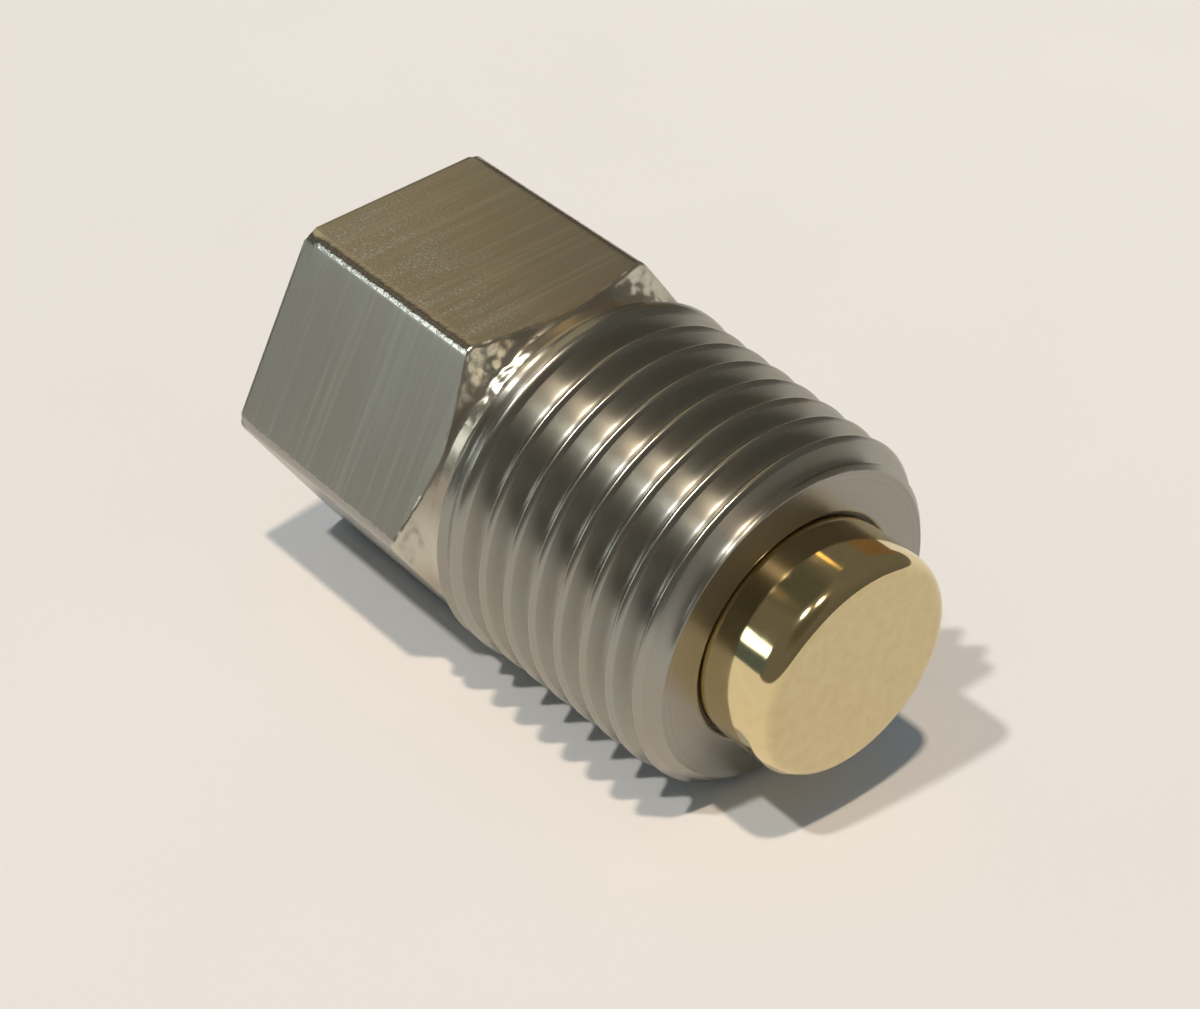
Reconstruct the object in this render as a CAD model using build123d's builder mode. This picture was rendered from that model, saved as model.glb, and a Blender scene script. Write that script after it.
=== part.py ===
from build123d import *
from math import atan, cos, degrees, radians, tan
import os

# Magnetic drain plug, lying on one flat of its hexagon.
# Millimetres. X runs along the plug from its head to its magnet, and Z is up.
# The origin is on the plug's axis, where the corners of the hexagon start to bevel.

# Head: six flats milled on turned bar, which leaves a narrow band at each corner
hex_across_flats = 10
bar_diameter = 11.43
head_length = 7
bevel_angle = 30
head_edge_break = 0.08

# Plain neck between the bevel and the thread
neck_diameter = 9.93
neck_end = 0.97

# Tapered pipe thread: 27 turns to the inch, 1 in 16 on the diameter
thread_pitch = 25.4 / 27
thread_angle = 60
thread_taper = 1 / 16
thread_depth = 0.705
root_width = 0.045
small_end_diameter = 9.986
shank_length = 9
end_chamfer = 0.56
runout_start = 1.07
runout_turns = 1.1
runout_angle = -74
tool_clearance = 0.045
over_crests = 0.5

# Blind bore for the magnet
bore_diameter = 6.48
bore_edge_break = 0.06

# Magnet, a quarter of an inch across, and the adhesive that holds it in the bore
magnet_diameter = 6.35
magnet_length = 6.35
magnet_protrusion = 2.25
magnet_edge_radius = 0.45
magnet_seat_chamfer = 0.3
bond_recess = 0.12

# Sizes worked out from those above
bar_radius = bar_diameter / 2
neck_radius = neck_diameter / 2
bore_radius = bore_diameter / 2
magnet_radius = magnet_diameter / 2
small_end_radius = small_end_diameter / 2
radius_per_length = thread_taper / 2
bevel_end = (bar_radius - neck_radius) * tan(radians(bevel_angle))
magnet_seat = shank_length + magnet_protrusion - magnet_length
bond_thickness = bore_radius - magnet_radius
bore_bottom = magnet_seat - bond_thickness


def crest_radius(x):
    """Radius of the tapered blank at x."""
    return small_end_radius + (shank_length - x) * radius_per_length


def root_radius(x):
    """Radius at the bottom of the finished groove at x."""
    return crest_radius(x) - thread_depth


def cut_groove(start_x, end_x, start_radius, end_radius):
    """Cut one stretch of the thread's V, along a helix whose radius changes evenly with x."""
    slope = atan((end_radius - start_radius) / (end_x - start_x))
    path = Helix(
        thread_pitch / cos(slope),
        end_x - start_x,
        start_radius,
        center=(start_x, 0, 0),
        direction=(1, 0, 0),
        cone_angle=degrees(slope),
        mode=Mode.PRIVATE,
    ).rotate(Axis.X, runout_angle + 360 * (start_x - runout_start) / thread_pitch)
    start = path @ 0
    radial = Vector(0, start.Y, start.Z).normalized()
    flank_run = tan(radians(thread_angle / 2))
    top_half_width = root_width / 2 + (thread_depth + tool_clearance) * flank_run
    profile_plane = Plane(start, x_dir=(1, 0, 0), z_dir=Vector(1, 0, 0).cross(radial))
    with BuildSketch(profile_plane) as profile:
        with BuildLine():
            Polyline(
                (-root_width / 2, 0),
                (root_width / 2, 0),
                (top_half_width, thread_depth + tool_clearance),
                (-top_half_width, thread_depth + tool_clearance),
                close=True,
            )
        make_face()
    sweep(profile.sketch, path=path, is_frenet=True, mode=Mode.SUBTRACT)


# The tool's tip starts at the crest, sinks to full depth, and leaves past the shank's end
full_depth_x = runout_start + runout_turns * thread_pitch
thread_end_x = shank_length + thread_pitch
blank_end = thread_end_x + thread_pitch

# The 45 degree ramp beside the neck and the 45 degree chamfer at the tip run out above the crests
over_crests_radius = crest_radius(0) + over_crests
ramp_top = neck_end + over_crests_radius - neck_radius
chamfer_top = shank_length - (over_crests_radius - small_end_radius + end_chamfer)

with BuildPart() as plug_body:
    # Tapered blank, longer than the shank, and its thread with the run-out towards the head
    with BuildSketch(Plane.XZ):
        with BuildLine():
            Polyline(
                (0, 0),
                (0, crest_radius(0)),
                (blank_end, crest_radius(blank_end)),
                (blank_end, 0),
                close=True,
            )
        make_face()
    revolve(axis=Axis.X)
    cut_groove(runout_start, full_depth_x, crest_radius(runout_start), root_radius(full_depth_x))
    cut_groove(full_depth_x, thread_end_x, root_radius(full_depth_x), root_radius(thread_end_x))

    # Hexagonal bar
    with BuildSketch(Plane.YZ.offset(-head_length)):
        RegularPolygon(hex_across_flats / 2, 6, major_radius=False)
    extrude(amount=head_length + neck_end)

    # Turned outline: corners, bevel, neck, ramp and the chamfer at the tip
    with BuildSketch(Plane.XZ):
        with BuildLine():
            Polyline(
                (-head_length, 0),
                (-head_length, bar_radius - head_edge_break),
                (-head_length + head_edge_break, bar_radius),
                (0, bar_radius),
                (bevel_end, neck_radius),
                (neck_end, neck_radius),
                (ramp_top, over_crests_radius),
                (chamfer_top, over_crests_radius),
                (shank_length, small_end_radius - end_chamfer),
                (shank_length, 0),
                close=True,
            )
        make_face()
    revolve(axis=Axis.X, mode=Mode.INTERSECT)

    # Blind bore
    with BuildSketch(Plane.XZ):
        with BuildLine():
            Polyline(
                (bore_bottom, 0),
                (bore_bottom, bore_radius),
                (shank_length - bore_edge_break, bore_radius),
                (shank_length, bore_radius + bore_edge_break),
                (shank_length, 0),
                close=True,
            )
        make_face()
    revolve(axis=Axis.X, mode=Mode.SUBTRACT)

with BuildPart() as magnet:
    # Chamfered where it starts into the bore, and rounded where it stands out
    with BuildSketch(Plane.YZ.offset(magnet_seat)):
        Circle(magnet_radius)
    extrude(amount=magnet_length)
    ends = magnet.edges().filter_by(GeomType.CIRCLE).sort_by(Axis.X)
    chamfer(ends[0], magnet_seat_chamfer)
    fillet(ends[-1], magnet_edge_radius)

with BuildPart() as bond_line:
    # Fills what the magnet leaves of the bore, and stops a little short of its mouth
    with BuildSketch(Plane.YZ.offset(bore_bottom)):
        Circle(bore_radius)
    extrude(amount=shank_length - bond_recess - bore_bottom)
    add(magnet.part, mode=Mode.SUBTRACT)

plug_body.part.label = "plug_body"
magnet.part.label = "magnet"
bond_line.part.label = "bond_line"

os.makedirs("parts", exist_ok=True)
export_step(plug_body.part, "parts/plug_body.step")
export_step(magnet.part, "parts/magnet.step")
export_step(bond_line.part, "parts/bond_line.step")
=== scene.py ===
import bpy
import math
import numpy as np
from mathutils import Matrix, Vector


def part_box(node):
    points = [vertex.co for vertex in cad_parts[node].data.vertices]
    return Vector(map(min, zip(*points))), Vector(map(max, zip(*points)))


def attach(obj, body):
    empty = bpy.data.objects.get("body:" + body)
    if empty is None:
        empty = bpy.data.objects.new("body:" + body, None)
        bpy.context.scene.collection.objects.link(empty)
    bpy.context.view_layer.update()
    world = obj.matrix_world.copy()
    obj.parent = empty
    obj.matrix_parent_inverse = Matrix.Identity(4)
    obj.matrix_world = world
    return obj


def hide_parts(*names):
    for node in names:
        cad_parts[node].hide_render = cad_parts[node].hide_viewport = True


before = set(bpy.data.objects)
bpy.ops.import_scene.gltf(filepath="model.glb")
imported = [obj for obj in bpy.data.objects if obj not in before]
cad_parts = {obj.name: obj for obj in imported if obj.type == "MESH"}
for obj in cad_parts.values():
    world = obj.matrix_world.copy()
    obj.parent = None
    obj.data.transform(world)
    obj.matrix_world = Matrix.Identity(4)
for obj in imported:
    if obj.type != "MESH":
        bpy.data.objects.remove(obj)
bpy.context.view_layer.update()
print("frame loaded")

mm = 0.001


# sRGB hex to linear rgba: c / 12.92 below the knee, ((c + 0.055) / 1.055) ** 2.4 above it
def linearColour(hexText, strength=1.0):
    values = [int(hexText[i:i + 2], 16) / 255 for i in (0, 2, 4)]
    linear = [c / 12.92 if c < 0.04045 else ((c + 0.055) / 1.055) ** 2.4 for c in values]
    return [strength * c for c in linear] + [1.0]


# one node: its settings, then its sockets by name or number, each fed by a link or a value.
# The two colours of a Mix node are its sockets 6 and 7, and the mixed colour is its output 2
def addNode(tree, kind, settings=None, sockets=None):
    node = tree.nodes.new(kind)
    for key, value in (settings or {}).items():
        setattr(node, key, value)
    for key, value in (sockets or {}).items():
        if isinstance(value, bpy.types.NodeSocket):
            tree.links.new(value, node.inputs[key])
        else:
            node.inputs[key].default_value = value
    return node


# lowest and highest corner of a CAD node in mm, rounded because its mesh is in single precision
def nodeBox(name):
    return [[round(v / mm, 4) for v in corner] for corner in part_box(name)]


# faces of a ring surface, wound so that they point away from the axis where x grows with the row.
# A helical surface joins its last column to the first one some rows further on
def ringFaces(rows, columns, rowShift):
    row, column = np.meshgrid(np.arange(rows - 1), np.arange(columns), indexing="ij")
    after = (column + 1) % columns
    shift = np.where(after == 0, rowShift, 0)
    low = np.minimum(row + shift, rows - 1)
    high = np.minimum(row + 1 + shift, rows - 1)
    corners = [
        row * columns + column, low * columns + after, high * columns + after, (row + 1) * columns + column,
    ]
    return np.stack(corners, axis=-1).reshape(-1, 4)


# mesh from blocks of (x, radius, material number by column, row shift), at the points
# (x, radius cos angle, radius sin angle). Points that fall together become one, so a quad
# at a seam or pole turns into a triangle or goes
def ringPiece(name, blocks, angle, materials):
    points, faces, slots, base = [], [], [], 0
    for x, radius, slot, rowShift in blocks:
        rows, columns = x.shape
        points.append(np.stack([x, radius * np.cos(angle), radius * np.sin(angle)], axis=-1).reshape(-1, 3))
        faces.append(ringFaces(rows, columns, rowShift) + base)
        slots.append(np.broadcast_to(slot, (rows - 1, columns)).reshape(-1))
        base += rows * columns
    points, faces, slots = np.concatenate(points) * mm, np.concatenate(faces), np.concatenate(slots)
    weld = 1e-5 * mm  # points nearer than this become one
    _, first, which = np.unique(np.round(points / weld), axis=0, return_index=True, return_inverse=True)
    faces = which.reshape(-1)[faces]
    same = faces == np.roll(faces, -1, axis=1)
    crossed = (faces[:, 0] == faces[:, 2]) | (faces[:, 1] == faces[:, 3])
    whole = ~same.any(axis=1) & ~crossed
    polygons, order = faces[whole].tolist(), [slots[whole]]
    for side in range(4):
        narrow = (same.sum(axis=1) == 1) & same[:, side] & ~crossed
        polygons += faces[narrow][:, [k for k in range(4) if k != side]].tolist()
        order.append(slots[narrow])
    mesh = bpy.data.meshes.new(name)
    mesh.from_pydata(points[first].tolist(), [], polygons)
    mesh.polygons.foreach_set("material_index", np.concatenate(order).astype(np.int32))
    mesh.polygons.foreach_set("use_smooth", np.ones(len(polygons), bool))
    for material in materials:
        mesh.materials.append(material)
    mesh.validate()
    piece = bpy.data.objects.new(name, mesh)
    bpy.context.scene.collection.objects.link(piece)
    print(name, "has", len(polygons), "faces")
    return piece


# the lower of two heights, with a round where they come within the given height of each other:
# a share that goes from 0 to 1 there mixes them, less within * share * (1 - share)
def softMin(one, other, within):
    share = np.clip(0.5 + 0.5 * (other - one) / within, 0, 1)
    return other * (1 - share) + one * share - within * share * (1 - share)


# the higher of two heights, with the same round
def softMax(one, other, within):
    return -softMin(-one, -other, within)


# rows for a straight run between two profile points, each of which may vary round the ring:
# start + (end - start) * share, for each share
def straightRows(start, end, shares):
    share = np.asarray(shares)[:, None]
    x = start[0] + (end[0] - start[0]) * share
    radius = start[1] + (end[1] - start[1]) * share
    return x, radius


def emptyMaterial(name):
    material = bpy.data.materials.new(name)
    material.use_nodes = True
    tree = material.node_tree
    tree.nodes.clear()
    return material, tree


# every pattern is set out in object space, in millimetres
def millimetres(tree):
    place = addNode(tree, "ShaderNodeTexCoord").outputs["Object"]
    scaled = addNode(tree, "ShaderNodeVectorMath", {"operation": "SCALE"}, {0: place, "Scale": 1 / mm})
    return scaled.outputs["Vector"]


# uneven marks whose spacing along x, y and z is given in mm: a long spacing draws a line that way.
# Detail counts finer layers, and rough is how strong they are. The values lie round 0.5 and seldom
# pass 0.25 or 0.75
def unevenMarks(tree, place, spacing, detail=2.0, rough=0.5):
    squeezed = addNode(tree, "ShaderNodeVectorMath", {"operation": "DIVIDE"}, {0: place, 1: spacing})
    return addNode(tree, "ShaderNodeTexNoise", None, {
        "Vector": squeezed.outputs[0], "Scale": 1.0, "Detail": detail, "Roughness": rough,
    }).outputs["Fac"]


# metal from its colour, roughness and bumps (height, depth in mm), with a metal's default IOR.
# Grain is how far fine lines round the plug spread a highlight along the plug
def metalSurface(tree, colour, roughness, bumps, grain=0.0):
    normal = {}
    for height, depth in bumps:
        bump = addNode(tree, "ShaderNodeBump", None, {
            "Strength": 1.0, "Distance": depth * mm, "Height": height, **normal,
        })
        normal = {"Normal": bump.outputs[0]}
    lines = {}
    if grain:
        # the highlight spreads across the lines, a quarter turn from the tangent round the axis
        around = addNode(tree, "ShaderNodeTangent", {"direction_type": "RADIAL", "axis": "X"})
        lines = {"Anisotropic": grain, "Anisotropic Rotation": 0.25, "Tangent": around.outputs[0]}
    shader = addNode(tree, "ShaderNodeBsdfPrincipled", None, {
        "Base Color": colour, "Metallic": 1.0, "Roughness": roughness, **normal, **lines,
    })
    addNode(tree, "ShaderNodeOutputMaterial", None, {"Surface": shader.outputs[0]})


# spacings are in mm along x, y and z, and depths in mm. Limits are the values of the marks at which
# what they draw starts and is full, a shade is how far it then covers the metal, and least is what
# it never falls below
steel = {
    "mean": "A7A49C",
    "warm": "A59D8E",
    "cool": "A0A4A1",
    "line": "8C8981",
    "speck": "C6C2B4",

    # milled flats
    "flatCloud": (1.4, 2.5, 2.5),
    "cutterLine": (0.06, 2.6, 2.6),  # the real lines are nearer 0.02 mm apart and would not show
    "cutterLineLimits": (0.35, 0.75),
    "cutterLineShade": 0.35,
    "cutterLineDepth": 0.0018,
    "streak": (0.22, 8.0, 8.0),
    "streakLimits": (0.52, 0.76),
    "streakShade": 0.42,
    "flatRoughness": (0.26, 0.34),

    # chatter on the upper and lower flats
    "chatterEdge": -2.86,  # y just inside the flats' edge
    "chatterFade": (-2.6, 0.2),  # y where it is full and where it ends
    "chatterDrift": 0.25,  # it is wider towards the back of the head
    "chatterBand": (0.35, 1.8, 1.8),
    "chatterBandLimits": (0.36, 0.60),
    "chatterBandLeast": 0.15,
    "chatterSpeck": (0.06, 0.10, 0.10),
    "chatterSpeckLimits": (0.50, 0.68),
    "chatterSpeckDepth": 0.005,
    "chatterRoughness": 0.20,  # added to the flats' own

    # turned thread, tip and edges, and the crests that the tool burnished
    "feedLine": (0.06, 3.0, 3.0),  # the real feed is finer and would not show
    "turnedCloud": (0.9, 1.6, 1.6),
    "turned": {"roughness": (0.32, 0.38), "depth": 0.0008, "grain": 0.9},
    "burnished": {"roughness": (0.22, 0.29), "depth": 0.002, "grain": 0.0},

    # torn bevel and neck
    "lump": (0.40, 0.60, 0.60),
    "tornLimits": (-0.2, 0.9),  # cosine that is 1 at each corner and -1 between two
    "tornLeast": 0.12,
    "scaleStep": 0.34,
    "scaleTilt": 20.0,  # degrees
    "scaleSway": 1.1,  # in steps
    "neckRoughness": (0.24, 0.33),

    # faced ends
    "faceRing": (0.09, 1.0, 1.0),
    "faceRingDepth": 0.004,
    "faceRoughness": (0.25, 0.36),

    # deburred corners
    "nick": (0.16, 0.12, 0.12),
    "nickDepth": 0.012,
    "edgeRoughness": (0.14, 0.30),
}


# 303 stainless, side-milled: nearly even, with fine lines square to the axis and a few paler streaks.
# On the upper and lower flats the cutter chattered towards one edge, in rows of tiny bumped specks whose
# paler colour is a painted glint
def milledStainless():
    material, tree = emptyMaterial("milledStainless")
    place = millimetres(tree)
    line = unevenMarks(tree, place, steel["cutterLine"], rough=0.6)
    streak = unevenMarks(tree, place, steel["streak"], detail=3.0, rough=0.6)
    cloud = unevenMarks(tree, place, steel["flatCloud"])
    speck = unevenMarks(tree, place, steel["chatterSpeck"], detail=1.0)
    band = unevenMarks(tree, place, steel["chatterBand"], detail=1.0)

    # where it chattered: y + drift * x fades it out, on the flats above the edge's y, in patchy bands
    apart = addNode(tree, "ShaderNodeSeparateXYZ", None, {0: place})
    drift = addNode(tree, "ShaderNodeMath", {"operation": "MULTIPLY_ADD"}, {
        0: apart.outputs["X"], 1: steel["chatterDrift"], 2: apart.outputs["Y"],
    })
    full, ends = steel["chatterFade"]
    fading = addNode(tree, "ShaderNodeMapRange", None, {
        "Value": drift.outputs[0], "From Min": full, "From Max": ends, "To Min": 1.0, "To Max": 0.0,
    })
    onFlat = addNode(tree, "ShaderNodeMath", {"operation": "GREATER_THAN"}, {
        0: apart.outputs["Y"], 1: steel["chatterEdge"],
    })
    start, full = steel["chatterBandLimits"]
    patchy = addNode(tree, "ShaderNodeMapRange", None, {
        "Value": band, "From Min": start, "From Max": full, "To Min": steel["chatterBandLeast"],
    })
    start, full = steel["chatterSpeckLimits"]
    bright = addNode(tree, "ShaderNodeMapRange", None, {"Value": speck, "From Min": start, "From Max": full})
    side = addNode(tree, "ShaderNodeMath", {"operation": "MULTIPLY"}, {
        0: fading.outputs[0], 1: onFlat.outputs[0],
    })
    zone = addNode(tree, "ShaderNodeMath", {"operation": "MULTIPLY"}, {
        0: side.outputs[0], 1: patchy.outputs[0],
    })
    specks = addNode(tree, "ShaderNodeMath", {"operation": "MULTIPLY"}, {
        0: zone.outputs[0], 1: bright.outputs[0],
    })

    # colour: a faint cloudiness, then darker lines, paler streaks and the specks' painted glint over it
    start, full = steel["cutterLineLimits"]
    lineShade = addNode(tree, "ShaderNodeMapRange", None, {
        "Value": line, "From Min": start, "From Max": full, "To Max": steel["cutterLineShade"],
    })
    start, full = steel["streakLimits"]
    streakShade = addNode(tree, "ShaderNodeMapRange", None, {
        "Value": streak, "From Min": start, "From Max": full, "To Max": steel["streakShade"],
    })
    colour = addNode(tree, "ShaderNodeMix", {"data_type": "RGBA"}, {
        0: cloud, 6: linearColour(steel["warm"]), 7: linearColour(steel["mean"]),
    })
    # the specks' paler colour is a painted glint over their bumps
    for shade, over in ((lineShade, "line"), (streakShade, "speck"), (specks, "speck")):
        colour = addNode(tree, "ShaderNodeMix", {"data_type": "RGBA"}, {
            0: shade.outputs[0], 6: colour.outputs[2], 7: linearColour(steel[over]),
        })

    low, high = steel["flatRoughness"]
    even = addNode(tree, "ShaderNodeMapRange", None, {"Value": line, "To Min": low, "To Max": high})
    roughness = addNode(tree, "ShaderNodeMath", {"operation": "MULTIPLY_ADD"}, {
        0: zone.outputs[0], 1: steel["chatterRoughness"], 2: even.outputs[0],
    })
    bumps = [(line, steel["cutterLineDepth"]), (specks.outputs[0], steel["chatterSpeckDepth"])]
    metalSurface(tree, colour.outputs[2], roughness.outputs[0], bumps)
    return material


# 303 stainless, turned: feed lines round the plug spread each highlight along it. The tool burnished
# the crests, which shine in narrow lines
def turnedStainless(name, finish):
    material, tree = emptyMaterial(name)
    place = millimetres(tree)
    feed = unevenMarks(tree, place, steel["feedLine"], detail=1.0)
    cloud = unevenMarks(tree, place, steel["turnedCloud"])
    colour = addNode(tree, "ShaderNodeMix", {"data_type": "RGBA"}, {
        0: cloud, 6: linearColour(steel["cool"]), 7: linearColour(steel["warm"]),
    })
    low, high = finish["roughness"]
    roughness = addNode(tree, "ShaderNodeMapRange", None, {"Value": feed, "To Min": low, "To Max": high})
    bumps = [(feed, finish["depth"])]
    metalSurface(tree, colour.outputs[2], roughness.outputs[0], bumps, finish["grain"])
    return material


# 303 stainless, turned where the hexagon's corners knocked the tool: beside each corner it tore the
# metal into low uneven scales that lean towards the thread, and they catch the lamps in blots.
# A scale's height is the fractional part of (sway * lump - x / step)
def tornStainless():
    material, tree = emptyMaterial("tornStainless")
    place = millimetres(tree)
    lump = unevenMarks(tree, place, steel["lump"], detail=1.0)

    # nearness to a corner, from the cosine of six times the angle round the axis
    apart = addNode(tree, "ShaderNodeSeparateXYZ", None, {0: place})
    around = addNode(tree, "ShaderNodeMath", {"operation": "ARCTAN2"}, {
        0: apart.outputs["Z"], 1: apart.outputs["Y"],
    })
    sixfold = addNode(tree, "ShaderNodeMath", {"operation": "MULTIPLY"}, {0: around.outputs[0], 1: 6.0})
    corner = addNode(tree, "ShaderNodeMath", {"operation": "COSINE"}, {0: sixfold.outputs[0]})
    start, full = steel["tornLimits"]
    near = addNode(tree, "ShaderNodeMapRange", None, {
        "Value": corner.outputs[0], "From Min": start, "From Max": full, "To Min": steel["tornLeast"],
    })

    sway = addNode(tree, "ShaderNodeMath", {"operation": "MULTIPLY"}, {0: lump, 1: steel["scaleSway"]})
    along = addNode(tree, "ShaderNodeMath", {"operation": "MULTIPLY_ADD"}, {
        0: apart.outputs["X"], 1: -1 / steel["scaleStep"], 2: sway.outputs[0],
    })
    scale = addNode(tree, "ShaderNodeMath", {"operation": "FRACT"}, {0: along.outputs[0]})
    height = addNode(tree, "ShaderNodeMath", {"operation": "MULTIPLY"}, {
        0: scale.outputs[0], 1: near.outputs[0],
    })
    # paler towards each corner: painted highlight where the torn scales catch the lamps in blots
    colour = addNode(tree, "ShaderNodeMix", {"data_type": "RGBA"}, {
        0: near.outputs[0], 6: linearColour(steel["warm"]), 7: linearColour(steel["speck"]),
    })
    low, high = steel["neckRoughness"]
    roughness = addNode(tree, "ShaderNodeMapRange", None, {"Value": lump, "To Min": low, "To Max": high})
    scaleDepth = steel["scaleStep"] * math.tan(math.radians(steel["scaleTilt"]))
    metalSurface(tree, colour.outputs[2], roughness.outputs[0], [(height.outputs[0], scaleDepth)])
    return material


# 303 stainless, faced on the lathe: fine rings round the axis, from marks along the distance to it
def facedStainless():
    material, tree = emptyMaterial("facedStainless")
    place = millimetres(tree)
    across = addNode(tree, "ShaderNodeVectorMath", {"operation": "MULTIPLY"}, {0: place, 1: (0, 1, 1)})
    distance = addNode(tree, "ShaderNodeVectorMath", {"operation": "LENGTH"}, {0: across.outputs[0]})
    outward = addNode(tree, "ShaderNodeCombineXYZ", None, {"X": distance.outputs["Value"]})
    ring = unevenMarks(tree, outward.outputs[0], steel["faceRing"], rough=0.6)
    colour = addNode(tree, "ShaderNodeMix", {"data_type": "RGBA"}, {
        0: ring, 6: linearColour(steel["line"]), 7: linearColour(steel["mean"]),
    })
    low, high = steel["faceRoughness"]
    roughness = addNode(tree, "ShaderNodeMapRange", None, {"Value": ring, "To Min": low, "To Max": high})
    metalSurface(tree, colour.outputs[2], roughness.outputs[0], [(ring, steel["faceRingDepth"])])
    return material


# 303 stainless, deburred by hand: the hexagon's corners are nicked and catch the light in a ragged line
def deburredStainless():
    material, tree = emptyMaterial("deburredStainless")
    nick = unevenMarks(tree, millimetres(tree), steel["nick"], rough=0.6)
    low, high = steel["edgeRoughness"]
    roughness = addNode(tree, "ShaderNodeMapRange", None, {"Value": nick, "To Min": low, "To Max": high})
    metalSurface(tree, linearColour(steel["mean"]), roughness.outputs[0], [(nick, steel["nickDepth"])])
    return material


# sizes in millimetres and degrees, as the plug was machined. Slopes and taper are the change of the
# radius along x, and angles round the plug start at +y. A round is the height within which two
# surfaces blend
plugBox = nodeBox("plug_body")
plug = {
    "acrossFlats": 10.0,
    "barRadius": 5.715,
    "headLength": -plugBox[0][0],
    "backEdgeBreak": 0.08,
    "bevelSlope": math.sqrt(3),  # cut at 30 degrees from square
    "neckRadius": 4.965,
    "neckEnd": 0.97,
    "pitch": 25.4 / 27,
    "grooveDepth": 0.705,
    "rootWidth": 0.045,
    "flankSlope": math.sqrt(3),  # a V of 60 degrees
    "smallEndRadius": 4.993,
    "taper": 1 / 32,
    "shankLength": plugBox[1][0],
    "endChamfer": 0.56,
    "runoutStart": 1.07,
    "runoutTurns": 1.1,
    "runoutAngle": 16.0,
    "boreRadius": 3.24,
    "boreEdgeBreak": 0.06,
    "boreBottom": nodeBox("bond_line")[0][0],
    "rootRound": 0.15,  # half width of the worn tool's nose
    "crestRound": 0.22,
    "crestLift": 0.2,  # share of crestRound, about what that round takes off a crest
    "crestShare": 0.22,  # share of the pitch that is burnished
    "edgeRound": 0.04,
    "bevelRound": 0.34,  # nose of the turning tool
    "deburrAngle": 21.0,
    "deburrWidth": 0.13,
    "deburrRound": 0.008,
}

# how fine the plug's mesh is. The lists are the shares of each straight run at which it has a row,
# with close ones at its ends so that the shading stays flat
plugMesh = {
    "columnsPerFlat": 20,
    "besideStart": 0.08,  # degrees from the deburred facet's start to the columns on both sides
    "besideEnd": 0.1,
    "pastEnd": 0.7,
    "columnMiddle": 0.5,  # degrees from a column to the middle of its narrow faces
    "facetSpare": 0.2,  # degrees past the facet's end that share its finish
    "flatRows": 14,
    "flatStop": 2.4,  # edge rounds between the flats' last row and the bevel's cone
    "shoulderRows": 30,
    "fadeOver": 6,  # edge rounds over which the rounding dies out before the neck's end
    "fadeLeast": 0.01,
    "rowsPerPitch": 24,
    "back": [0, 0.3, 0.6, 0.85, 0.97, 0.99, 1],
    "backEdge": [0, 0.35, 0.65, 1],
    "tip": [0, 0.02, 0.2, 0.4, 0.6, 0.8, 0.97, 1],
    "boreEdge": [0, 0.3, 0.7, 1],
    "boreWall": [0, 0.02, 0.5, 0.98, 1],
    "boreBottom": [0, 0.05, 0.5, 1],
}


# where the deburred facet beside each corner starts and ends, in degrees from the corner, and its
# distance from the axis. The facet turns 9 degrees from the flat and 20 from the corner's round
def deburredFacet():
    half = plug["acrossFlats"] / 2
    corner = 30 - math.degrees(math.acos(half / plug["barRadius"]))
    fromFlat = math.radians(30 - plug["deburrAngle"])
    fromRound = math.radians(plug["deburrAngle"] - corner)
    chord = plug["deburrWidth"] / math.sin(fromFlat + fromRound)
    start = corner - math.degrees(chord * math.sin(fromFlat) / plug["barRadius"])
    end = corner + math.degrees(chord * math.sin(fromRound) / plug["barRadius"])
    depth = chord * math.sin(fromFlat) * math.sin(fromRound)
    return start, end, plug["barRadius"] * math.cos(fromRound) - depth


# angles round the ring in radians: even steps, with close ones at the hexagon's corners, which lie
# at 0, 60 and so on. The close ones before a corner mirror those after it
def plugAngles():
    start, end, _ = deburredFacet()
    close = np.array([
        0, start / 2, start - plugMesh["besideStart"], start + plugMesh["besideStart"],
        (start + end) / 2, end - plugMesh["besideEnd"], end + plugMesh["besideEnd"],
        end + plugMesh["pastEnd"],
    ])
    even = np.linspace(close[-1], 60 - close[-1], plugMesh["columnsPerFlat"])[1:-1]
    sector = np.concatenate([close, even, (60 - close[::-1])[:-1]])
    return np.radians(np.concatenate([sector + 60 * k for k in range(6)]))


# degrees to the nearest corner of the hexagon
def fromNearestCorner(degrees):
    return np.abs(np.mod(degrees + 30, 60) - 30)


# the head's outline round the axis: the lowest of the bar's round, the flat and the deburred facet.
# A flat lies at apothem / cos(angle from its middle), and a facet likewise
def headRadius(angle, barRadius):
    fromCorner = fromNearestCorner(np.degrees(angle))
    flat = plug["acrossFlats"] / 2 / np.cos(np.radians(30 - fromCorner))
    facet = deburredFacet()[2] / np.cos(np.radians(fromCorner - plug["deburrAngle"]))
    return softMin(softMin(flat, barRadius, plug["deburrRound"]), facet, plug["deburrRound"])


# the tapered blank: its radius grows by the taper with the distance from the tip
def crestRadius(x):
    return plug["smallEndRadius"] + (plug["shankLength"] - x) * plug["taper"]


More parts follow.
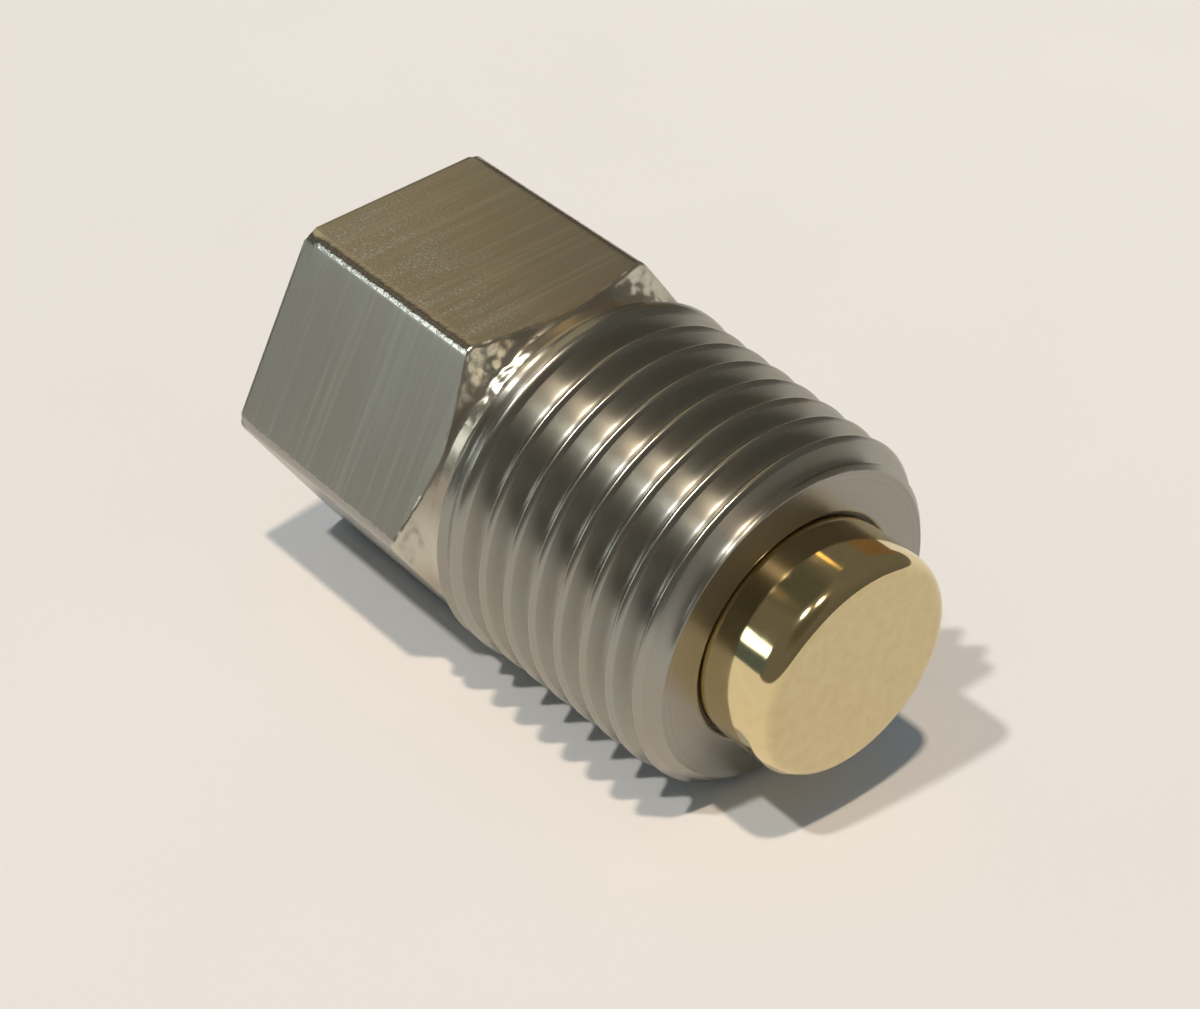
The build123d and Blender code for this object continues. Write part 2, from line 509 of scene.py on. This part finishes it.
# radius of the threaded blank: the lower of the taper and the groove of the nearest passes.
# A pass is centred at x = start + pitch * turns. Its groove is a hyperbola, flank slope * root of
# (offset squared + nose squared), which keeps the V's width at the crest and rounds its root.
# The tool sinks from the crest to full depth over the first turns
def threadRadius(x, angle):
    nose = plug["rootRound"]
    turnAtAngle = (np.degrees(angle) - plug["runoutAngle"]) / 360
    nearest = np.round((x - plug["runoutStart"]) / plug["pitch"] - turnAtAngle)
    radius = crestRadius(x) + plug["crestRound"] * plug["crestLift"]
    for neighbour in (-1, 0, 1):
        turns = nearest + neighbour + turnAtAngle
        centre = plug["runoutStart"] + plug["pitch"] * turns
        depth = plug["grooveDepth"] * np.clip(turns / plug["runoutTurns"], 0, 1)
        halfWidth = plug["rootWidth"] / 2 + depth / plug["flankSlope"]
        above = np.hypot(x - centre, nose) - np.hypot(halfWidth, nose)
        groove = crestRadius(centre) + plug["flankSlope"] * above
        groove = np.where(turns < 0, crestRadius(x) + 1, groove)  # no groove before the tool comes in
        radius = softMin(radius, groove, plug["crestRound"])
    return radius


# outline beside the head: the highest of the bevel's cone, the plain neck and the 45 degree ramp up
# to the thread, with a round at the foot of the cone and of the ramp
def shoulderRadius(x):
    bevel = plug["barRadius"] - plug["bevelSlope"] * x
    ramp = plug["neckRadius"] + x - plug["neckEnd"]
    foot = softMax(bevel, plug["neckRadius"] + 0 * x, plug["bevelRound"])
    return softMax(foot, ramp, plug["edgeRound"])


# the plug's skin: rings of points at a radius that depends on x and on the angle, from the middle of
# the back face over head, neck, thread and tip down to the bottom of the bore
def makePlugBody():
    angle = plugAngles()
    degrees = np.degrees(angle)
    ones = np.ones(len(angle))
    axis = 0 * ones
    head = headRadius(angle, plug["barRadius"])
    backX = -plug["headLength"]
    edge = plug["backEdgeBreak"]
    rounding = plug["edgeRound"]
    milled, turned, faced, torn, deburred, burnished = range(6)

    # back face and its edge, then the flats as far as the bevel's cone
    backRim = headRadius(angle, plug["barRadius"] - edge)
    backRows = straightRows((backX * ones, axis), (backX * ones, backRim), plugMesh["back"])
    edgeRows = straightRows((backX * ones, backRim), ((backX + edge) * ones, head), plugMesh["backEdge"])
    coneX = np.maximum(0, (plug["barRadius"] - head) / plug["bevelSlope"])
    flatEnd = coneX - plugMesh["flatStop"] * rounding
    share = np.linspace(0, 1, plugMesh["flatRows"])[:, None]
    flatX = backX + edge + share * (flatEnd - backX - edge)

    # a face lies between its column and the next, so its finish goes by a point a little further on
    facetEnd = deburredFacet()[1] + plugMesh["facetSpare"]
    fromCorner = fromNearestCorner(degrees + plugMesh["columnMiddle"])
    flatSlot = np.where(fromCorner < facetEnd, deburred, milled)

    # bevel and neck: rows from the flats' end to the neck's, where the rounding dies out
    share = np.linspace(0, 1, plugMesh["shoulderRows"])[:, None]
    shoulderX = flatEnd + share * (plug["neckEnd"] - flatEnd)
    fadeLength = plugMesh["fadeOver"] * rounding
    fade = np.clip((plug["neckEnd"] - shoulderX) / fadeLength, plugMesh["fadeLeast"], 1)
    headAlong = np.broadcast_to(head, shoulderX.shape)
    shoulder = softMin(headAlong, shoulderRadius(shoulderX), rounding * fade)

    # threaded part: rows follow the helix x = start + pitch * (row + angle / turn), held between the
    # neck and the tip. The blank is cut by the tip's chamfer and by the ramp beside the neck
    turnOffset = plug["runoutAngle"] / 360
    firstTurn = math.floor((plug["neckEnd"] - plug["runoutStart"]) / plug["pitch"] + turnOffset) - 1
    lastTurn = math.ceil((plug["shankLength"] - plug["runoutStart"]) / plug["pitch"] + turnOffset)
    perPitch = plugMesh["rowsPerPitch"]
    turns = np.arange(firstTurn * perPitch, lastTurn * perPitch + 1) / perPitch
    crest = np.abs(np.mod(turns[:-1] + 0.5 / perPitch, 1) - 0.5) < plug["crestShare"] / 2
    threadSlot = np.where(crest, burnished, turned)[:, None]
    x = plug["runoutStart"] + plug["pitch"] * (turns[:, None] - turnOffset + degrees[None, :] / 360)
    x = np.clip(x, plug["neckEnd"], plug["shankLength"])
    chamfer = plug["smallEndRadius"] - plug["endChamfer"] + plug["shankLength"] - x
    thread = softMin(threadRadius(x, angle[None, :]), chamfer, rounding)
    thread = softMin(thread, shoulderRadius(x), rounding)

    # end face, bore and its bottom
    tipX = plug["shankLength"] * ones
    innerX = tipX - plug["boreEdgeBreak"]
    bottomX = plug["boreBottom"] * ones
    wall = plug["boreRadius"] * ones
    mouth = wall + plug["boreEdgeBreak"]
    tipRows = straightRows((tipX, thread[-1]), (tipX, mouth), plugMesh["tip"])
    breakRows = straightRows((tipX, mouth), (innerX, wall), plugMesh["boreEdge"])
    wallRows = straightRows((innerX, wall), (bottomX, wall), plugMesh["boreWall"])
    bottomRows = straightRows((bottomX, wall), (bottomX, axis), plugMesh["boreBottom"])

    blocks = [
        (*backRows, faced, 0),
        (*edgeRows, turned, 0),
        (flatX, np.broadcast_to(head, flatX.shape), flatSlot, 0),
        (shoulderX, shoulder, torn, 0),
        (x, thread, threadSlot, perPitch),
        (*tipRows, faced, 0),
        (*breakRows, turned, 0),
        (*wallRows, turned, 0),
        (*bottomRows, faced, 0),
    ]
    materials = [
        milledStainless(),
        turnedStainless("turnedStainless", steel["turned"]),
        facedStainless(),
        tornStainless(),
        deburredStainless(),
        turnedStainless("burnishedStainless", steel["burnished"]),
    ]
    piece = ringPiece("plugBody", blocks, angle, materials)
    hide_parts("plug_body")
    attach(piece, "root")


makePlugBody()

magnetBox = nodeBox("magnet")
magnet = {
    "radius": 3.175,
    "seat": magnetBox[0][0],
    "top": magnetBox[1][0],
    "seatChamfer": 0.3,
    "edgeRadius": 0.45,
    "edgeLength": 0.6,
    "seatRows": (1.5, 0.5),  # mm in from the side, on the seated end
    "edgeRows": 14,
    "faceRows": (0.97, 0.7, 0.35, 0),  # shares of the flat face's radius
    "step": 2.0,  # degrees
    "pale": "EAD9AB",
    "deep": "D9C594",
    # the end face's two colours are painted shade: darker than the side's, for the face's dimmer reflection
    "shadedFacePale": "D6C79F",
    "shadedFaceDeep": "C4B185",
    "faceShadeFade": (0.2, 0.02),  # mm below the face where its colour starts and is full
    "wave": (1.1, 1.1, 1.1),
    "waveDepth": 0.004,
    "cloud": (0.35, 0.35, 0.35),
    "roughness": (0.06, 0.11),
}


# gold plating over a ground and tumbled magnet: a pale warm mirror, softly wavy and faintly clouded, with
# the end face's colours darker as painted shade for the dimmer reflection that face gives
def goldPlating():
    material, tree = emptyMaterial("goldPlating")
    place = millimetres(tree)
    wave = unevenMarks(tree, place, magnet["wave"])
    cloud = unevenMarks(tree, place, magnet["cloud"], detail=3.0)
    sideColour = addNode(tree, "ShaderNodeMix", {"data_type": "RGBA"}, {
        0: cloud, 6: linearColour(magnet["deep"]), 7: linearColour(magnet["pale"]),
    })
    shadedFaceColour = addNode(tree, "ShaderNodeMix", {"data_type": "RGBA"}, {
        0: cloud, 6: linearColour(magnet["shadedFaceDeep"]), 7: linearColour(magnet["shadedFacePale"]),
    })
    along = addNode(tree, "ShaderNodeSeparateXYZ", None, {0: place}).outputs["X"]
    start, full = magnet["faceShadeFade"]
    onShadedFace = addNode(tree, "ShaderNodeMapRange", None, {
        "Value": along, "From Min": magnet["top"] - start, "From Max": magnet["top"] - full,
    })
    # the end face takes the darker colours: painted shade
    colour = addNode(tree, "ShaderNodeMix", {"data_type": "RGBA"}, {
        0: onShadedFace.outputs[0], 6: sideColour.outputs[2], 7: shadedFaceColour.outputs[2],
    })
    low, high = magnet["roughness"]
    roughness = addNode(tree, "ShaderNodeMapRange", None, {"Value": cloud, "To Min": low, "To Max": high})
    metalSurface(tree, colour.outputs[2], roughness.outputs[0], [(wave, magnet["waveDepth"])])
    return material


# the magnet's outline turned about the axis: chamfered seat, straight side, a quarter of an ellipse
# where tumbling rounded the edge, and flat end. Rows stand close where the outline bends
def makeMagnet():
    angle = np.radians(np.arange(0, 360, magnet["step"]))
    ones = np.ones(len(angle))
    quarter = np.radians(np.linspace(0, 90, magnet["edgeRows"]))
    inner = magnet["radius"] - magnet["edgeRadius"]
    cut = magnet["seatChamfer"]
    # the seated end from its middle in four rows, then its chamfer and the foot of the side
    seatX = magnet["seat"] + cut * np.array([0, 0, 0, 0, 0.05, 0.95, 1, 1.1])
    seatInset = np.array([magnet["radius"], *magnet["seatRows"], cut, 0.95 * cut, 0.05 * cut, 0, 0])
    edgeX = magnet["top"] - magnet["edgeLength"] * (1 - np.sin(quarter))
    edgeRadius = inner + magnet["edgeRadius"] * np.cos(quarter)
    faceRadius = inner * np.array(magnet["faceRows"])
    x = np.concatenate([seatX, [plug["shankLength"]], edgeX, np.full(len(faceRadius), magnet["top"])])
    radius = np.concatenate([magnet["radius"] - seatInset, [magnet["radius"]], edgeRadius, faceRadius])
    blocks = [(x[:, None] * ones, radius[:, None] * ones, 0, 0)]
    piece = ringPiece("magnetGold", blocks, angle, [goldPlating()])
    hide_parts("magnet")
    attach(piece, "root")


makeMagnet()

bond = {
    # near black: the adhesive's own dark colour with the gap's shade painted into it
    "dark": "1E140D",
    "light": "3A281A",
    "blotch": (0.25, 0.25, 0.25),
    "roughness": (0.25, 0.5),
    "ior": 1.5,
}


# cured adhesive, glossy brown-black, sunk a little between bore and magnet: a filled, dark adhesive whose
# near-black colour also paints the shade of that narrow gap
def adhesiveAndGapShade():
    material, tree = emptyMaterial("adhesiveAndGapShade")
    blotch = unevenMarks(tree, millimetres(tree), bond["blotch"])
    colour = addNode(tree, "ShaderNodeMix", {"data_type": "RGBA"}, {
        0: blotch, 6: linearColour(bond["dark"]), 7: linearColour(bond["light"]),
    })
    low, high = bond["roughness"]
    roughness = addNode(tree, "ShaderNodeMapRange", None, {"Value": blotch, "To Min": low, "To Max": high})
    shader = addNode(tree, "ShaderNodeBsdfPrincipled", None, {
        "Base Color": colour.outputs[2], "Roughness": roughness.outputs[0], "IOR": bond["ior"],
    })
    addNode(tree, "ShaderNodeOutputMaterial", None, {"Surface": shader.outputs[0]})
    return material


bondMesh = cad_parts["bond_line"].data
bondMesh.materials.clear()
bondMesh.materials.append(adhesiveAndGapShade())
print("bond_line keeps its CAD mesh")

# the plug lies on its thread and has rolled a few degrees, so in its own frame the table is tilted:
# height = depth + reach * (riseX * tanh(x / reach) + riseY * tanh(y / reach)), which levels out
# beyond the reach
table = {
    "depth": -5.3162,  # where the thread touches it
    "riseX": 0.0315,
    "riseY": -0.1228,
    "reach": 32.0,
    "halfWidth": 260.0,
    "steps": 80,
    "middleStep": 0.15,  # size of the steps in the middle, as a share of even ones
    "paper": "FBF8F4",
    "shade": "F8F5F0",
    "cloud": (9.0, 9.0, 9.0),
}


# pale matt paper: nearly white, with a hardly visible cloudiness
def palePaper():
    material, tree = emptyMaterial("palePaper")
    cloud = unevenMarks(tree, millimetres(tree), table["cloud"])
    colour = addNode(tree, "ShaderNodeMix", {"data_type": "RGBA"}, {
        0: cloud, 6: linearColour(table["paper"]), 7: linearColour(table["shade"]),
    })
    shader = addNode(tree, "ShaderNodeBsdfDiffuse", None, {"Color": colour.outputs[2]})
    addNode(tree, "ShaderNodeOutputMaterial", None, {"Surface": shader.outputs[0]})
    return material


# a square grid, closer in the middle: each line lies at share * (middle + (1 - middle) * share squared)
def makeTable():
    share = np.linspace(-1, 1, table["steps"] + 1)
    across = table["halfWidth"] * share * (table["middleStep"] + (1 - table["middleStep"]) * share ** 2)
    x, y = np.meshgrid(across, across, indexing="ij")
    rise = table["riseX"] * np.tanh(x / table["reach"]) + table["riseY"] * np.tanh(y / table["reach"])
    points = np.stack([x, y, table["depth"] + table["reach"] * rise], axis=-1).reshape(-1, 3) * mm
    corner = np.arange(table["steps"])[:, None] * len(share) + np.arange(table["steps"])
    faces = np.stack([corner, corner + len(share), corner + len(share) + 1, corner + 1], axis=-1)
    faces = faces.reshape(-1, 4)
    mesh = bpy.data.meshes.new("tableTop")
    mesh.from_pydata(points.tolist(), [], faces.tolist())
    mesh.polygons.foreach_set("use_smooth", np.ones(len(faces), bool))
    mesh.materials.append(palePaper())
    top = bpy.data.objects.new("tableTop", mesh)
    bpy.context.scene.collection.objects.link(top)


makeTable()
print("pieces made")

# directions in the plug's own frame, and each lamp's width in the sky in degrees
lamps = {
    "key": {"towards": (0.1357, -0.1353, 1.0), "strength": 1.42, "angle": 3.0, "colour": "FFECD6"},
    "second": {"towards": (-0.06, -0.4379, 1.0), "strength": 1.08, "angle": 2.5, "colour": "FFFDF9"},
}

for name, lamp in lamps.items():
    light = bpy.data.lights.new(name, "SUN")
    light.energy = lamp["strength"]
    light.angle = math.radians(lamp["angle"])
    light.color = linearColour(lamp["colour"])[:3]
    holder = bpy.data.objects.new(name, light)
    holder.rotation_mode = "QUATERNION"
    holder.rotation_quaternion = Vector(lamp["towards"]).to_track_quat("Z", "Y")
    bpy.context.scene.collection.objects.link(holder)

# what metal reflects: a dim room, with patches given by direction and by the angles in degrees
# at which each is full and at which it ends. A note says what they give in the main view
room = {
    "backdrop": "E9E3D9",
    "ambient": "CDE8FF",
    "ambientStrength": 0.205,
    "dark": "6E6A62",
    "patches": [
        # dim, so that the top of the thread and neck stays dark, and then the chamfer at the tip
        {"towards": (-0.50, -0.10, 0.86), "full": 8, "ends": 26, "colour": "55564C", "strength": 1.0},
        {"towards": (0.40, -0.42, 0.81), "full": 10, "ends": 32, "colour": "57534A", "strength": 1.0},
        # pale band of light along the thread
        {"towards": (-0.87, 0.28, 0.41), "full": 12, "ends": 22, "colour": "E8DCB2", "strength": 1.08},
        # cool side flat, and a cool bar on the magnet
        {"towards": (-0.66, -0.74, 0.05), "full": 12, "ends": 27, "colour": "586467", "strength": 1.0},
        # glints on the deburred corner and beside it
        {"towards": (-0.53, -0.79, 0.30), "full": 3, "ends": 7, "colour": "F4FFFF", "strength": 5.0},
        {"towards": (-0.63, -0.71, 0.33), "full": 4, "ends": 8, "colour": "F4FFFF", "strength": 4.0},
        # warm bars on the magnet's side
        {"towards": (-0.60, -0.31, 0.735), "full": 3, "ends": 9, "colour": "A08A70", "strength": 1.2},
        {"towards": (-0.62, 0.33, 0.71), "full": 5, "ends": 10, "colour": "C0A888", "strength": 1.2},
        {"towards": (-0.50, 0.84, 0.21), "full": 1, "ends": 18, "colour": "7A6040", "strength": 1.0},
        {"towards": (-0.516, 0.431, 0.74), "full": 1, "ends": 3, "colour": "FFD080", "strength": 2.5},
    ],
    "lampPatch": {"full": 4, "ends": 7, "strength": 2.5},  # a soft disc where each lamp stands
}


# the camera sees the backdrop, matt surfaces are lit by the ambient light, and metal mirrors the
# patches and the lamps, each laid over the ones before it
def makeRoom():
    world = bpy.data.worlds.new("room")
    bpy.context.scene.world = world
    world.use_nodes = True
    tree = world.node_tree
    tree.nodes.clear()
    towards = addNode(tree, "ShaderNodeTexCoord").outputs["Generated"]
    seen = linearColour(room["dark"])
    for patch in room["patches"] + [{**lamp, **room["lampPatch"]} for lamp in lamps.values()]:
        aim = Vector(patch["towards"]).normalized()
        facing = addNode(tree, "ShaderNodeVectorMath", {"operation": "DOT_PRODUCT"}, {0: towards, 1: aim})
        glow = addNode(tree, "ShaderNodeMapRange", {"interpolation_type": "SMOOTHSTEP"}, {
            "Value": facing.outputs["Value"],
            "From Min": math.cos(math.radians(patch["ends"])),
            "From Max": math.cos(math.radians(patch["full"])),
        })
        seen = addNode(tree, "ShaderNodeMix", {"data_type": "RGBA"}, {
            0: glow.outputs[0], 6: seen, 7: linearColour(patch["colour"], patch["strength"]),
        }).outputs[2]
    ray = addNode(tree, "ShaderNodeLightPath")
    ambient = addNode(tree, "ShaderNodeBackground", None, {
        "Color": linearColour(room["ambient"]), "Strength": room["ambientStrength"],
    })
    mirrored = addNode(tree, "ShaderNodeBackground", None, {"Color": seen})
    backdrop = addNode(tree, "ShaderNodeBackground", None, {"Color": linearColour(room["backdrop"])})
    lit = addNode(tree, "ShaderNodeMixShader", None, {
        0: ray.outputs["Is Glossy Ray"], 1: ambient.outputs[0], 2: mirrored.outputs[0],
    })
    whole = addNode(tree, "ShaderNodeMixShader", None, {
        0: ray.outputs["Is Camera Ray"], 1: lit.outputs[0], 2: backdrop.outputs[0],
    })
    addNode(tree, "ShaderNodeOutputWorld", None, {"Surface": whole.outputs[0]})


makeRoom()

# place, focal length and sensor width in mm, turn in degrees, and the nearest and furthest distance
# seen in metres
view = {
    "place": (40.706, -32.688, 42.698),
    "turn": (49.566, 0.813, 49.476),
    "lens": 75.133,
    "sensor": 36.0,
    "nearest": 0.001,
    "furthest": 10.0,
}

camera = bpy.data.objects.new("camera", bpy.data.cameras.new("camera"))
camera.location = Vector(view["place"]) * mm
camera.rotation_euler = [math.radians(v) for v in view["turn"]]
camera.data.lens = view["lens"]
camera.data.sensor_width = view["sensor"]
camera.data.clip_start = view["nearest"]
camera.data.clip_end = view["furthest"]
bpy.context.scene.collection.objects.link(camera)
bpy.context.scene.camera = camera
bpy.context.scene.view_settings.view_transform = "Standard"
print("lamps, room and camera set")
